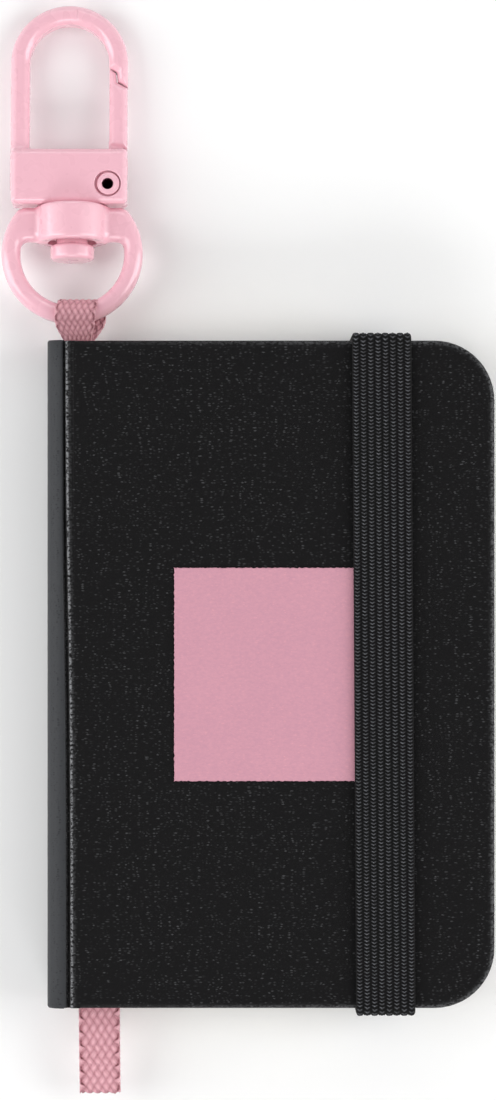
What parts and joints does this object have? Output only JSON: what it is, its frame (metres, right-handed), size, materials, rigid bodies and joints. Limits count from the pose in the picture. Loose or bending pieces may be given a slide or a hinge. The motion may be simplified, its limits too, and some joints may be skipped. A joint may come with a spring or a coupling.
{
  "type": "pocket notebook",
  "caption": "Small hardcover notebook with elastic closure, cover patch, bookmark ribbon and a snap clip on a ribbon loop.",
  "frame": {"origin": "centre of the back cover's outer face, on the surface that the notebook lies on", "axes": "+X from the spine to the fore-edge, +Y from the tail to the head and the clip, +Z from the back cover to the front cover"},
  "size_m": [0.0596, 0.1324, 0.0128],
  "materials": {
    "cover_leatherette": "fine grained matt black leatherette",
    "board": "grey board",
    "endpaper": "ivory endpaper",
    "page_paper": "ivory page paper, matt",
    "patch": "fine grained matt pink",
    "thread": "waxed linen thread",
    "gauze": "open cotton gauze",
    "lining": "kraft paper",
    "elastic": "ribbed knitted elastic",
    "ribbon": "flat pink braid",
    "enamel": "glossy pink enamel on cast zinc",
    "spring_steel": "bare spring wire"
  },
  "bodies": {
    "book": {"back_skin": "cover_leatherette", "back_board": "board", "back_pastedown": "endpaper", "spine_skin": "cover_leatherette", "spine_board": "board", "back_flyleaf": "endpaper", "signature_02": "page_paper", "signature_03": "page_paper", "signature_04": "page_paper", "signature_05": "page_paper", "signature_06": "page_paper", "sewing_thread": "thread", "spine_gauze": "gauze", "spine_lining": "lining", "elastic_ends": "elastic", "bookmark_ribbon": "ribbon", "loop_tails": "ribbon"},
    "front_cover": {"front_skin": "cover_leatherette", "front_board": "board", "front_pastedown": "endpaper", "front_patch": "patch"},
    "front_leaves": {"front_flyleaf": "endpaper", "signature_01": "page_paper"},
    "elastic": {"elastic_band": "elastic", "elastic_legs": "elastic"},
    "strap": {"ribbon_loop": "ribbon"},
    "ring": {"swivel_ring": "enamel"},
    "hook": {"hook_body": "enamel", "swivel_post": "enamel", "gate_rivet": "enamel", "gate_spring": "spring_steel"},
    "gate": {"clip_gate": "enamel"}
  },
  "joints": [
    {"name": "cover_open", "type": "hinge", "parent": "book", "child": "front_cover", "pos_m": [-0.02445, 0, 0.0116], "axis": [0, -1, 0], "range_deg": [0, 190]},
    {"name": "leaf_turn", "type": "hinge", "parent": "book", "child": "front_leaves", "pos_m": [-0.02445, 0, 0.0116], "axis": [0, -1, 0], "range_deg": [0, 181]},
    {"name": "elastic_slide", "type": "slide", "parent": "book", "child": "elastic", "axis": [1, 0, 0], "range_m": [0, 0.0175], "deforming": ["elastic_band", "elastic_legs"]},
    {"name": "strap_bend", "type": "hinge", "parent": "book", "child": "strap", "pos_m": [-0.0231, 0.0415, 0.0058], "axis": [1, 0, 0], "range_deg": [0, 60]},
    {"name": "ring_turn", "type": "hinge", "parent": "strap", "child": "ring", "pos_m": [-0.0241, 0.0509, 0.0048], "axis": [0, 0.1063, 0.9943], "range_deg": [-45, 45]},
    {"name": "swivel", "type": "hinge", "parent": "ring", "child": "hook", "pos_m": [-0.0241, 0.0509, 0.0048], "axis": [0, 0.9943, -0.1063], "continuous": true},
    {"name": "gate_open", "type": "hinge", "parent": "hook", "child": "gate", "pos_m": [-0.01977, 0.0592, 0.00391], "axis": [0, 0.1063, 0.9943], "range_deg": [0, 22], "stiffness_Nm_per_rad": 0.02, "springref_deg": -14.32, "deforming": ["gate_spring"]}
  ],
  "couplings": [
    {"joint": "leaf_turn", "follows": "cover_open", "ratio": 0.95}
  ]
}
